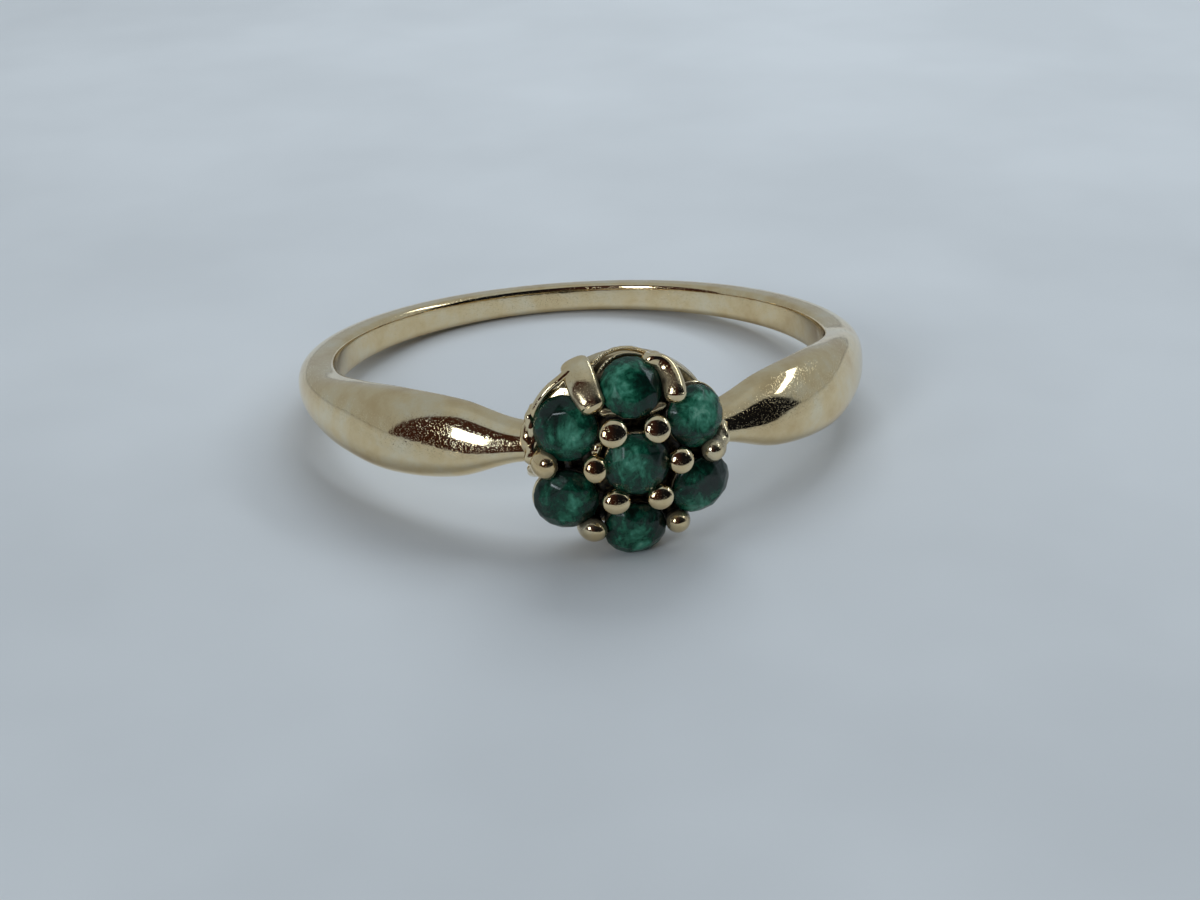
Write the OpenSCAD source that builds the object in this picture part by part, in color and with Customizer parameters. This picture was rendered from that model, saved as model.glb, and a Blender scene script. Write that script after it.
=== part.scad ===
// Cluster ring: seven round cut stones in a domed daisy head on a D-section shank with leaf shoulders.
// The ring lies on its side as it rests by itself. The origin is at the middle of its box, on the surface.

/* [Finger] */
// Inside diameter of the shank
finger_d = 17; // [15:0.25:20]

/* [Shank] */
// Width of the band at the back
back_w = 1.05; // [0.9:0.05:1.8]
// Thickness of the band at the back
back_t = 1.2; // [0.9:0.05:1.6]
// Width of each shoulder at its fullest
shoulder_w = 2.65; // [2:0.05:3.4]
// Thickness of each shoulder at its fullest
shoulder_t = 1.55; // [1.2:0.05:2]
// Width of the neck under the head
neck_w = 1; // [0.9:0.05:1.8]
// Thickness of the neck under the head
neck_t = 1.15; // [0.95:0.05:1.3]

/* [Stones] */
// Girdle diameter of every stone
stone_d = 2; // [1.7:0.05:2.2]
// Gap between the girdles of neighbouring stones
stone_gap = 0.28; // [0.24:0.02:0.4]
// Height of the crown above the girdle
crown_h = 0.36; // [0.26:0.02:0.44]
// Thickness of the girdle
girdle_h = 0.08; // [0.04:0.02:0.12]
// Depth of the pavilion below the girdle
pavilion_h = 0.84; // [0.7:0.02:0.96]
// Diameter of the flat table
table_d = 1.16; // [0.9:0.02:1.3]

/* [Head] */
// Height of the centre stone's girdle above the finger hole
head_rise = 3.2; // [3:0.1:4]
// Lean of the whole head's face towards its lower edge in degrees
head_tip = 5; // [0:0.5:8]
// Drop of the petal stones behind the centre stone
petal_drop = 0.62; // [0.4:0.02:0.8]
// Outward tilt of the petal stones in degrees
petal_tilt = 24; // [12:1:30]
// Width of the cup rim outside each girdle
rim_w = 0.17; // [0.14:0.01:0.24]
// Depth of the cup rim behind each girdle
rim_set = 0.2; // [0.16:0.01:0.32]
// Height of each cup
cup_h = 0.9; // [0.7:0.05:1.1]
// Wall of each cup at its foot
cup_wall = 0.24; // [0.18:0.02:0.34]
// Clearance between a stone and its metal seat
seat_gap = 0.03; // [0.02:0.01:0.06]
// Width of the gallery ring under the cups
gallery_w = 0.6; // [0.45:0.05:0.8]
// Height of the gallery ring
gallery_h = 0.55; // [0.4:0.05:0.7]

/* [Claws] */
// Diameter of the beads on the inner claws
bead_d = 0.8; // [0.7:0.02:0.9]
// Height of the inner beads' centres above the girdles
bead_lift = 0.1; // [0.04:0.02:0.2]
// Diameter of the outer claws at their tips
claw_d = 0.8; // [0.7:0.02:0.9]
// Diameter of the outer claws at the gallery
leg_d = 0.48; // [0.4:0.02:0.5]
// Height of the outer claws' tips above the petal girdles
claw_lift = 0.12; // [0.04:0.02:0.2]
// Depth of the notches that the outer claws have for the girdles beside them
claw_bite = 0.08; // [0.04:0.01:0.12]
// Lean of the outer claws' tips over the stones
claw_lean = 0.12; // [0.08:0.02:0.2]
// Splay of the outer claws' legs in degrees
claw_splay = 6; // [2:1:12]
// Depth of the outer claws' elbows behind the girdles beside them
elbow_drop = 0.3; // [0.2:0.05:0.4]

/* [Hidden] */

gold = "#B7A47A";
green = "#1B6B4A";

petals = 6;
petal_step = 360 / petals;

// Stations of half the shank, from the back to the neck.
// The fill shares run from the back size to the shoulder size, and past the fullest from the neck size.
TURN = 0;        // share of the half turn
WIDTH_FILL = 1;  // share of the full width
THICK_FILL = 2;  // share of the full thickness
stations = [
    [0.00, 0.00, 0.00],
    [0.22, 0.07, 0.10],
    [0.42, 0.18, 0.26],
    [0.56, 0.36, 0.44],
    [0.66, 0.78, 0.62],
    [0.74, 1.00, 1.00],
    [0.82, 0.82, 0.72],
    [0.89, 0.12, 0.22],
    [1.00, 0.00, 0.00]
];
fullest = 5;     // row of the stations where the shoulder is fullest

sections = 64;           // sections round the shank
section_points = 18;     // points round one section
widest_share = 0.36;     // depth of the widest line, as a share of the thickness
outer_power = 2.4;       // roundness of the domed outside
inner_power = 4;         // roundness of the edges inside
hidden_depth = 0.08;     // how far the sections run under the finger hole before it is cut

finger_r = finger_d / 2;
stone_r = stone_d / 2;
head_y = finger_r + head_rise;
petal_r = stone_d + stone_gap;
bead_r = petal_r / sqrt(3);
facets = 8;
kite_spread = 1.04;      // radius of the crown's kites against the middle of table and girdle
kite_height = 0.52;      // height of the kites, as a share of the crown
keel_share = 0.42;       // radius of the pavilion's knees, as a share of the girdle
keel_depth = 0.58;       // depth of the knees, as a share of the pavilion

light_share = 0.6;       // hole for light under a stone, as a share of its radius
gallery_rise = 0.15;     // how far the gallery stands above the neck
leg_sink = 0.075;        // depth of the legs' feet below the top of the gallery, clear of the neck
tip_step = 0.02;         // how much slimmer a bent tip is than its elbow
tip_rise = 0.1;          // height of the bend above the elbow
post_depth = 0.5;        // depth of the inner posts' roots behind the petal girdles
cut_over = 0.2;          // how far a cut runs past the metal
clear_top = 1;           // height kept free above each crown

cup_top_r = stone_r + rim_w;
light_r = stone_r * light_share;
cup_foot_r = light_r + cup_wall;
cup_foot = -rim_set - cup_h;

notch_reach = stone_r + claw_d / 2 - claw_bite;
claw_r = petal_r * cos(petal_step / 2) + sqrt(pow(notch_reach, 2) - pow(petal_r / 2, 2));
claw_plane = -petal_drop - tan(petal_tilt) * (claw_r * cos(petal_step / 2) - petal_r);
tip_r = claw_r - claw_lean;
tip_z = -petal_drop - tan(petal_tilt) * (tip_r * cos(petal_step / 2) - petal_r) + claw_lift;
elbow_z = claw_plane - elbow_drop;
gallery_z = -head_rise + neck_t - gallery_h / 2 + gallery_rise;
leg_foot_z = gallery_z + gallery_h / 2 - leg_sink;
gallery_r = claw_r - (elbow_z - leg_foot_z) * tan(claw_splay);
bead_floor = -petal_drop - post_depth;

small_fn = 32;
ring_fn = 64;
bore_fn = 144;

// Smooth value of one column of the stations at share t of the half turn
function row_before(t, i = 0) =
    i >= len(stations) - 2 || stations[i + 1][TURN] > t ? i : row_before(t, i + 1);
function slope(i, c) =
    i == 0 || i == len(stations) - 1 || i == fullest ? 0
    : (stations[i + 1][c] - stations[i - 1][c]) / (stations[i + 1][TURN] - stations[i - 1][TURN]);
function fill(t, c) =
    let (i = row_before(t), h = stations[i + 1][TURN] - stations[i][TURN], u = (t - stations[i][TURN]) / h)
    (2 * pow(u, 3) - 3 * pow(u, 2) + 1) * stations[i][c] + (pow(u, 3) - 2 * pow(u, 2) + u) * h * slope(i, c)
    + (3 * pow(u, 2) - 2 * pow(u, 3)) * stations[i + 1][c] + (pow(u, 3) - pow(u, 2)) * h * slope(i + 1, c);
function size_at(t, c, back, full, neck) =
    (t < stations[fullest][TURN] ? back : neck)
    + (full - (t < stations[fullest][TURN] ? back : neck)) * fill(t, c);
function width_at(t) = size_at(t, WIDTH_FILL, back_w, shoulder_w, neck_w);
function thick_at(t) = size_at(t, THICK_FILL, back_t, shoulder_t, neck_t);

// One section of the shank: flat towards the finger with eased edges, domed outside
function power_of(v, p) = sign(v) * pow(abs(v), 2 / p);
function section_point(t, a) =
    let (w = width_at(t), d = thick_at(t), widest = d * widest_share, out = cos(a) > 0,
         p = out ? outer_power : inner_power, depth = out ? d - widest : widest + hidden_depth)
    [finger_r + widest + depth * power_of(cos(a), p), w / 2 * power_of(sin(a), p)];

lean_limit = 30;         // the resting lean is sought from 0 to this
lean_steps = 24;         // halvings of the search

// Depth of the ring's lowest points below its centre when it leans by angle a
function spread(a, half_out, half_w) =
    let (q = outer_power / (outer_power - 1))
    pow(pow(half_out * sin(a), q) + pow(half_w * cos(a), q), 1 / q);
function back_depth(a) =
    (finger_r + back_t * widest_share) * sin(a) + spread(a, back_t * (1 - widest_share), back_w / 2);
cup_tilt_z = -petal_drop - rim_set * cos(petal_tilt);
cup_tilt_r = petal_r - rim_set * sin(petal_tilt);
function head_depth(a) =
    let (face = a - head_tip)
    cup_tilt_r * cos(face) - cup_tilt_z * sin(face) + cup_top_r * cos(petal_tilt + face) - head_y * sin(a);
function settle(low, high, steps) =
    let (middle = (low + high) / 2)
    steps == 0 ? middle
    : head_depth(middle) > back_depth(middle) ? settle(middle, high, steps - 1)
    : settle(low, middle, steps - 1);
rest_lean = settle(0, lean_limit, lean_steps);
rest_height = back_depth(rest_lean);
face_lean = rest_lean - head_tip;
front_y = head_y * cos(rest_lean) + bead_r * cos(petal_step / 2) * sin(abs(face_lean))
    + bead_lift * cos(face_lean) + bead_d / 2;
back_y = (finger_r + back_t) * cos(rest_lean);

// Puts the ring down on its side, resting on a cup rim and the back of the band
module lay() {
    translate([0, (front_y - back_y) / 2, rest_height]) rotate([-rest_lean, 0, 0]) children();
}

// Puts children in the head: z points away from the finger, y points up
module in_head() {
    translate([0, -head_y, 0]) rotate([90 + head_tip, 0, 0]) children();
}

// Puts children on the girdle of petal i, with z along its axis
module at_petal(i) {
    rotate([0, 0, 90 + petal_step * i]) translate([petal_r, 0, -petal_drop])
        rotate([0, petal_tilt, 0]) children();
}

// Round bar from one point to another in the xz plane, with round ends of radius r1 and r2
module bar(from, to, r1, r2) {
    reach = norm(to - from);
    translate([from[0], 0, from[1]]) rotate([0, atan2(to[0] - from[0], to[1] - from[1]), 0])
        rotate_extrude($fn = small_fn) intersection() {
            union() {
                circle(r = r1, $fn = small_fn);
                translate([0, reach]) circle(r = r2, $fn = small_fn);
                polygon([[0, 0], [r1, 0], [r2, reach], [0, reach]]);
            }
            translate([0, -r1]) square([r1 + r2, reach + r1 + r2]);
        }
}

// Shank: sections swept round the finger hole
module shank() {
    points = [for (i = [0:sections - 1]) let (turn = 360 * i / sections, t = 1 - abs(1 - turn / 180))
              for (j = [0:section_points - 1]) let (p = section_point(t, 360 * (j + 0.5) / section_points))
              [p[0] * sin(turn), p[0] * cos(turn), p[1]]];
    faces = [for (i = [0:sections - 1]) for (j = [0:section_points - 1])
             let (i2 = (i + 1) % sections, j2 = (j + 1) % section_points)
             [i * section_points + j, i2 * section_points + j,
              i2 * section_points + j2, i * section_points + j2]];
    polyhedron(points, faces);
}

// Cup under one stone, before its seat is cut
module cup() {
    translate([0, 0, cup_foot]) cylinder(r1 = cup_foot_r, r2 = cup_top_r, h = cup_h, $fn = ring_fn);
}

// Room for one stone: crown, girdle, pavilion and the light hole behind it
module seat() {
    g = seat_gap;
    light_z = -girdle_h / 2 - g - pavilion_h / stone_r * (stone_r + g - light_r);
    rotate_extrude($fn = ring_fn) polygon([
        [0, cup_foot - cut_over], [light_r, cup_foot - cut_over], [light_r, light_z],
        [stone_r + g, -girdle_h / 2 - g],
        [stone_r + g, girdle_h / 2 + g], [table_d / 2 + g, girdle_h / 2 + crown_h + g],
        [table_d / 2 + g, crown_h + clear_top], [0, crown_h + clear_top]
    ]);
}

// Gallery ring that ties the outer claws together under the cups
module gallery() {
    translate([0, 0, gallery_z]) rotate_extrude($fn = ring_fn)
        translate([gallery_r - gallery_w / 2, -gallery_h / 2]) square([gallery_w, gallery_h]);
}

// Outer claw: a leg from the gallery and a tip bent over two petals
module outer_claw() {
    bar([gallery_r, leg_foot_z], [claw_r, elbow_z], leg_d / 2, claw_d / 2);
    bar([claw_r - tip_step, elbow_z + tip_rise], [tip_r, tip_z],
        claw_d / 2 - tip_step, claw_d / 2 - tip_step / 2);
}

// Inner claw: a post between the centre stone and two petals, ending in a bead
module inner_claw() {
    bar([bead_r, bead_floor], [bead_r, bead_lift], bead_d / 2, bead_d / 2);
}

// Point at radius r, turn a and height z
function level_point(r, a, z) = [r * cos(a), r * sin(a), z];

// One round cut stone with an octagonal table, kites, girdle facets and pavilion mains
module stone() {
    step = 360 / facets;
    kite_r = (table_d / 2 + stone_r) / 2 * kite_spread;
    keel_r = stone_r * keel_share;
    top = girdle_h / 2 + crown_h;
    points = [
        for (i = [0:facets - 1]) level_point(table_d / 2, i * step, top),
        for (i = [0:facets - 1]) level_point(kite_r, (i + 0.5) * step, girdle_h / 2 + crown_h * kite_height),
        for (i = [0:2 * facets - 1]) level_point(stone_r, i * step / 2, girdle_h / 2),
        for (i = [0:2 * facets - 1]) level_point(stone_r, i * step / 2, -girdle_h / 2),
        for (i = [0:facets - 1])
            level_point(keel_r, (i + 0.5) * step, -girdle_h / 2 - pavilion_h * keel_depth),
        [0, 0, -girdle_h / 2 - pavilion_h]
    ];
    kite = facets;
    upper = 2 * facets;
    lower = 4 * facets;
    keel = 6 * facets;
    culet = 7 * facets;
    faces = [
        [for (i = [facets - 1:-1:0]) i],
        for (i = [0:facets - 1]) let (n = (i + 1) % facets) each [
            [i, n, kite + i],
            [n, kite + n, upper + 2 * n], [n, upper + 2 * n, kite + i],
            [kite + i, upper + 2 * n, upper + 2 * i + 1], [kite + i, upper + 2 * i + 1, upper + 2 * i],
            [keel + i, lower + 2 * i, lower + 2 * i + 1], [keel + i, lower + 2 * i + 1, lower + 2 * n],
            [lower + 2 * n, keel + n, keel + i], [keel + i, keel + n, culet]
        ],
        for (i = [0:2 * facets - 1]) let (n = (i + 1) % (2 * facets)) each [
            [upper + i, upper + n, lower + n], [upper + i, lower + n, lower + i]
        ]
    ];
    polyhedron(points, faces);
}

// Shank with the finger hole cut true
module bored_shank() {
    difference() {
        shank();
        cylinder(r = finger_r, h = finger_d, center = true, $fn = bore_fn);
    }
}

// Daisy head: gallery, cups and claws, with a seat cut for every stone
module head() {
    difference() {
        union() {
            cup();
            for (i = [0:petals - 1]) at_petal(i) cup();
            gallery();
            for (i = [0:petals - 1]) rotate([0, 0, petal_step * i]) outer_claw();
            for (i = [0:petals - 1]) rotate([0, 0, petal_step * i]) inner_claw();
        }
        seat();
        for (i = [0:petals - 1]) at_petal(i) seat();
    }
}

// All the soldered metal in one solid
module gold_mount() {
    color(gold) lay() {
        bored_shank();
        in_head() head();
    }
}

module centre_stone() {
    color(green) lay() in_head() stone();
}

module petal_stone(i) {
    color(green) lay() in_head() at_petal(i) stone();
}

gold_mount();
centre_stone();
petal_stone(0);  // petal_stone_1
petal_stone(1);  // petal_stone_2
petal_stone(2);  // petal_stone_3
petal_stone(3);  // petal_stone_4
petal_stone(4);  // petal_stone_5
petal_stone(5);  // petal_stone_6
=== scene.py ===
"""Looks of the cluster ring: seven cut emeralds in worn yellow gold, lying on white paper in a light tent.

Lengths in the classes are in millimetres, in one of two working frames. The ring frame has the finger hole along z
and the head towards -y. The head frame has its origin at the middle of the centre stone's girdle, x to the right,
y up and z away from the finger. RestingPlace turns both into the row's frame in metres.
"""
from __future__ import annotations

import logging
import math
from dataclasses import dataclass, field
from enum import Enum
from typing import Sequence

import bmesh
import bpy
from bpy.types import Material, Mesh, Node, NodeSocket, NodeTree, Object
from mathutils import Matrix, Vector, noise

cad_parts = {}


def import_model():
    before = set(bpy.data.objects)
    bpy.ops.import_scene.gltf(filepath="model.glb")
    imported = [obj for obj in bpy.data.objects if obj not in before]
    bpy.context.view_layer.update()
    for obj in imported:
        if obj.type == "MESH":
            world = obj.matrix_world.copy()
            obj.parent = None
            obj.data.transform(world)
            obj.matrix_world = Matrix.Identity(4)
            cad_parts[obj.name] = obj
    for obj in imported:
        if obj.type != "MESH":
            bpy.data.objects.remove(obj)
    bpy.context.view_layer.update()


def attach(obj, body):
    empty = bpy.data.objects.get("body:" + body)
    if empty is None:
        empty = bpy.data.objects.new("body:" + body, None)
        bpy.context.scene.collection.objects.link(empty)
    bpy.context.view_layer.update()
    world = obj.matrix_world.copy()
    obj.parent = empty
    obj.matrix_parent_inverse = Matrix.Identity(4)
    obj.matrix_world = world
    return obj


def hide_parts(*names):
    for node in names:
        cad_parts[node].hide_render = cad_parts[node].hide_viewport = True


LOG = logging.getLogger("cluster_ring")
MM = 0.001
MOUNT = "gold_mount"
Pair = tuple[float, float]
Triple = tuple[float, float, float]
Skin = tuple[list[Vector], list[tuple[int, ...]]]


class Slot(Enum):
    """Kinds of material that a piece has."""

    GOLD = "yellow_gold"
    STONE = "emerald"


def linear(hex_colour: str) -> tuple[float, float, float, float]:
    """Turn an sRGB hex colour into a linear colour with full alpha.

    Args:
        hex_colour: The colour as # and six hex digits.

    Returns:
        Red, green, blue and alpha.
    """
    parts = [int(hex_colour[i:i + 2], 16) / 255 for i in (1, 3, 5)]
    light = [p / 12.92 if p <= 0.04045 else ((p + 0.055) / 1.055) ** 2.4 for p in parts]
    return (light[0], light[1], light[2], 1.0)


def per_mm(spacing_mm: float) -> float:
    """Scale of a texture on Object coordinates whose features lie this many millimetres apart."""
    return 1.0 / (spacing_mm * MM)


def ease(value: float, low: float, high: float) -> float:
    """Rise smoothly from 0 at low to 1 at high. Low may be the larger of the two."""
    share = min(1.0, max(0.0, (value - low) / (high - low)))
    return share * share * (3 - 2 * share)


def full_turn(count: int) -> list[float]:
    """List evenly spaced angles round a full turn, in radians."""
    return [2 * math.pi * i / count for i in range(count)]


def polar(radius: float, angle: float, height: float) -> Vector:
    """Give the point at a radius, an angle about z and a height."""
    return Vector((radius * math.cos(angle), radius * math.sin(angle), height))


def add_node(tree: NodeTree, kind: str, settings: dict | None = None, links: dict | None = None) -> Node:
    """Add one node with its settings and links.

    Args:
        tree: The node tree that gets the node.
        kind: Blender's type name of the node.
        settings: Values by property name, or by input name or number. "stops" holds a colour ramp's stops.
        links: Output sockets by the name or number of the input that they feed. A node gives its first output.

    Returns:
        The new node.
    """
    node = tree.nodes.new(kind)
    for key, value in (settings or {}).items():
        if key == "stops":
            ramp = node.color_ramp
            while len(ramp.elements) < len(value):
                ramp.elements.new(0.5)
            for element, (place, colour) in zip(ramp.elements, value):
                element.position = place
                element.color = colour
        elif isinstance(key, str) and hasattr(node, key):
            setattr(node, key, value)
        else:
            node.inputs[key].default_value = value
    for key, source in (links or {}).items():
        tree.links.new(source.outputs[0] if isinstance(source, Node) else source, node.inputs[key])
    return node


def begin(name: str) -> tuple[Material, NodeTree, NodeSocket]:
    """Start an empty procedural material.

    Args:
        name: Name of the finish.

    Returns:
        The material, its node tree and the socket of its Object coordinates.
    """
    finish = bpy.data.materials.new(name)
    finish.use_nodes = True
    tree = finish.node_tree
    tree.nodes.clear()
    return finish, tree, add_node(tree, "ShaderNodeTexCoord").outputs["Object"]


@dataclass(frozen=True)
class Seat:
    """How one petal stone sits apart from the regular circle: moved out or aside, tilted, larger or smaller."""

    out: float = 0.0
    aside: float = 0.0
    tilt_deg: float = 0.0
    size: float = 1.0


@dataclass(frozen=True)
class RestingPlace:
    """How the ring lies on the paper, leaning on its head and on the back of the band."""

    lean_deg: float = 7.6326
    middle: Triple = (0.0, 1.2673, 1.7251)
    head_y: float = 11.7
    head_tip_deg: float = 5.0
    petal_r: float = 2.28
    petal_drop: float = 0.62
    petal_tilt_deg: float = 24.0
    seats: tuple[Seat, ...] = (Seat(-0.06, 0.0, 7, 0.95), Seat(0.03, 0.05, 0, 1.02), Seat(0.12, 0.0, -12, 1.0),
                               Seat(0.12, 0.0, -9, 0.97), Seat(0.07, 0.04, 0, 1.0), Seat(-0.06, 0.0, 0, 0.965))

    def ring(self) -> Matrix:
        """Give the matrix from the ring frame in mm to the row's frame in metres."""
        return (Matrix.Scale(MM, 4) @ Matrix.Translation(self.middle)
                @ Matrix.Rotation(math.radians(-self.lean_deg), 4, "X"))

    def head(self) -> Matrix:
        """Give the matrix from the head frame in mm to the row's frame in metres."""
        return (self.ring() @ Matrix.Translation((0.0, -self.head_y, 0.0))
                @ Matrix.Rotation(math.radians(90 + self.head_tip_deg), 4, "X"))

    def petal(self, index: int) -> Matrix:
        """Give the matrix from petal stone index's own frame in mm to the head frame in mm.

        Args:
            index: 0 for the stone at the top, counted towards the left.

        Returns:
            The matrix, with the stone's own size in it.
        """
        seat = self.seats[index]
        return (Matrix.Rotation(math.radians(90 + 60 * index), 4, "Z")
                @ Matrix.Translation((self.petal_r + seat.out, seat.aside, -self.petal_drop))
                @ Matrix.Rotation(math.radians(self.petal_tilt_deg + seat.tilt_deg), 4, "Y")
                @ Matrix.Scale(seat.size, 4))


PLACE = RestingPlace()


def mesh_from(name: str, points: Sequence[Vector], faces: Sequence[Sequence[int]], place: Matrix,
              smooth: bool = True) -> Mesh:
    """Make a mesh in the row's frame with all its faces turned outwards.

    Args:
        name: Name of the mesh.
        points: Corners in the working frame, in mm.
        faces: Corner numbers of each face.
        place: Matrix from the working frame to the row's frame.
        smooth: Whether the faces are shaded smooth.

    Returns:
        The finished mesh.
    """
    mesh = bpy.data.meshes.new(name)
    mesh.from_pydata([place @ p for p in points], [], faces)
    work = bmesh.new()
    work.from_mesh(mesh)
    bmesh.ops.remove_doubles(work, verts=work.verts, dist=1e-7)
    bmesh.ops.recalc_face_normals(work, faces=work.faces)
    for face in work.faces:
        face.smooth = smooth
    work.to_mesh(mesh)
    work.free()
    mesh.update()
    return mesh


def join_rings(count: int, around: int, looped: bool) -> list[tuple[int, ...]]:
    """List the quads between successive rings of points.

    Args:
        count: Number of rings.
        around: Points in each ring.
        looped: Whether the last ring joins the first. Otherwise both ends are closed by one face.

    Returns:
        The faces as corner numbers.
    """
    faces: list[tuple[int, ...]] = []
    for i in range(count if looped else count - 1):
        a, b = i * around, ((i + 1) % count) * around
        faces += [(a + j, b + j, b + (j + 1) % around, a + (j + 1) % around) for j in range(around)]
    if not looped:
        faces.append(tuple(range(around)))
        faces.append(tuple((count - 1) * around + j for j in reversed(range(around))))
    return faces


def show(mesh: Mesh, finish: Material) -> Object:
    """Put a mesh into the scene with one material.

    Args:
        mesh: The mesh, in the row's frame.
        finish: Its material.

    Returns:
        The new object.
    """
    piece = bpy.data.objects.new(mesh.name, mesh)
    bpy.context.scene.collection.objects.link(piece)
    mesh.materials.clear()
    mesh.materials.append(finish)
    return piece


@dataclass(frozen=True)
class GrimeAndShade:
    """Where the gold is darkened, in the head frame: from the cups' lips down to the band, and not on the outside. The
    darkening is partly old grime and partly painted shade in the recesses between the parts.

    Each pair gives where it starts and where it is full.
    """

    top: Pair = (-0.10, -0.50)
    bottom: Pair = (-3.6, -3.0)
    outside: Pair = (3.0, 2.5)

    def soil_and_shade(self, mesh: Mesh) -> None:
        """Store how much grime and painted shade each point of a gold mesh gets.

        Args:
            mesh: The mesh, in the row's frame.
        """
        back = PLACE.head().inverted()
        values = []
        for vertex in mesh.vertices:
            at = back @ vertex.co
            # Darker further down between the parts, where shade falls: partly old grime, partly painted shade.
            values.append(ease(at.z, *self.top) * ease(at.z, *self.bottom)
                          * ease(math.hypot(at.x, at.y), *self.outside))
        mesh.attributes.new("grime", "FLOAT", "POINT").data.foreach_set("value", values)


def enter(piece: Object, slot: Slot = Slot.GOLD, stands_for: str = MOUNT) -> Object:
    """Enter a finished piece in the frame: it rides on the ring and stands for a CAD node.

    Args:
        piece: The finished piece.
        slot: Kind of material of the piece; gold pieces get the mask of grime and painted shade.
        stands_for: CAD node that the piece replaces.

    Returns:
        The same piece.
    """
    # Gold pieces get the mask of grime and painted shade.
    if slot is Slot.GOLD:
        GrimeAndShade().soil_and_shade(piece.data)
    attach(piece, "root")
    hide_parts(stands_for)
    LOG.info("%s: %d faces", piece.name, len(piece.data.polygons))
    return piece


@dataclass(frozen=True)
class WornGold:
    """Nine carat yellow gold, cast, soldered and polished by hand, then worn for years.

    The polish still throws sharp dark reflections, under a haze of fine scratches, pin holes and pale rubbed places.
    Between the stones it is darkened to brown, partly by old grime and partly by painted shade, which makes the gaps
    read as nearly black.
    """

    name: str = "worn_yellow_gold"
    face: str = "#E5CFA4"
    rubbed: str = "#E8DABA"
    deep: str = "#D9BE90"
    # Colour of the grime and painted shade in the recesses.
    grime: str = "#120E0B"
    roughness: float = 0.04
    haze: float = 0.06
    scratch_mm: float = 0.045
    scratch_run: float = 0.05
    scratch_turns: tuple[Triple, ...] = ((0.2, 0.5, 0.35), (1.1, 0.2, 1.9), (0.4, 1.3, 0.9))
    pit_mm: float = 0.42
    grain_mm: float = 0.16
    cloud_mm: float = 1.4
    relief_mm: float = 0.006

    def material(self) -> Material:
        """Build the material.

        Returns:
            The finished material.
        """
        finish, tree, place = begin(self.name)
        clouds = add_node(tree, "ShaderNodeTexNoise", {"Scale": per_mm(self.cloud_mm), "Detail": 6.0,
                                                       "Roughness": 0.62}, {"Vector": place})
        grain = add_node(tree, "ShaderNodeTexNoise", {"Scale": per_mm(self.grain_mm), "Detail": 3.0},
                         {"Vector": place})
        tone = add_node(tree, "ShaderNodeValToRGB", {"stops": [
            (0.34, linear(self.deep)), (0.50, linear(self.face)), (0.68, linear(self.rubbed))]}, {"Fac": clouds})
        lines = None
        for turn in self.scratch_turns:
            laid = add_node(tree, "ShaderNodeMapping", {"Rotation": turn, "Scale": (1.0, self.scratch_run, 1.0)},
                            {"Vector": place})
            streak = add_node(tree, "ShaderNodeTexNoise", {"Scale": per_mm(self.scratch_mm), "Detail": 1.0},
                              {"Vector": laid})
            line = add_node(tree, "ShaderNodeMapRange", {1: 0.66, 2: 0.72}, {0: streak})
            lines = line if lines is None else add_node(tree, "ShaderNodeMath", {"operation": "MAXIMUM"},
                                                        {0: lines, 1: line})
        cells = add_node(tree, "ShaderNodeTexVoronoi", {"Scale": per_mm(self.pit_mm)}, {"Vector": place})
        hollow = add_node(tree, "ShaderNodeMapRange", {1: 0.05, 2: 0.12, 3: 1.0, 4: 0.0}, {0: cells})
        porous = add_node(tree, "ShaderNodeMapRange", {1: 0.54, 2: 0.62}, {0: clouds})
        pits = add_node(tree, "ShaderNodeMath", {"operation": "MULTIPLY"}, {0: hollow, 1: porous})
        hazy = add_node(tree, "ShaderNodeMapRange", {1: 0.35, 2: 0.70}, {0: clouds})
        soft = add_node(tree, "ShaderNodeMath", {"operation": "MULTIPLY_ADD", 1: self.haze, 2: self.roughness},
                        {0: hazy})
        scratched = add_node(tree, "ShaderNodeMath", {"operation": "MULTIPLY_ADD", 1: 0.10}, {0: lines, 2: soft})
        cut = add_node(tree, "ShaderNodeMath", {"operation": "MULTIPLY_ADD", 1: -0.6}, {0: lines, 2: grain})
        height = add_node(tree, "ShaderNodeMath", {"operation": "MULTIPLY_ADD", 1: -1.6}, {0: pits, 2: cut})
        bump = add_node(tree, "ShaderNodeBump", {"Strength": 0.35, "Distance": self.relief_mm * MM},
                        {"Height": height})
        # Grime and painted shade: darker, less metallic and rougher further down between the parts, in patches.
        grime_and_shade_mask = add_node(tree, "ShaderNodeAttribute", {"attribute_name": "grime"}).outputs["Fac"]
        thin = add_node(tree, "ShaderNodeMapRange", {1: 0.25, 2: 0.55, 3: 0.75, 4: 1.0}, {0: grain})
        patchy = add_node(tree, "ShaderNodeMath", {"operation": "MULTIPLY"}, {0: grime_and_shade_mask, 1: thin})
        colour = add_node(tree, "ShaderNodeMix", {"data_type": "RGBA", 7: linear(self.grime)}, {0: patchy, 6: tone})
        bare = add_node(tree, "ShaderNodeMapRange", {1: 0.0, 2: 1.0, 3: 1.0, 4: 0.25}, {0: patchy})
        rough = add_node(tree, "ShaderNodeMath", {"operation": "MULTIPLY_ADD", 1: 0.35}, {0: patchy, 2: scratched})
        shade = add_node(tree, "ShaderNodeBsdfPrincipled", {}, {
            "Base Color": colour.outputs[2], "Metallic": bare, "Roughness": rough, "Normal": bump})
        add_node(tree, "ShaderNodeOutputMaterial", {}, {"Surface": shade})
        return finish


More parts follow.
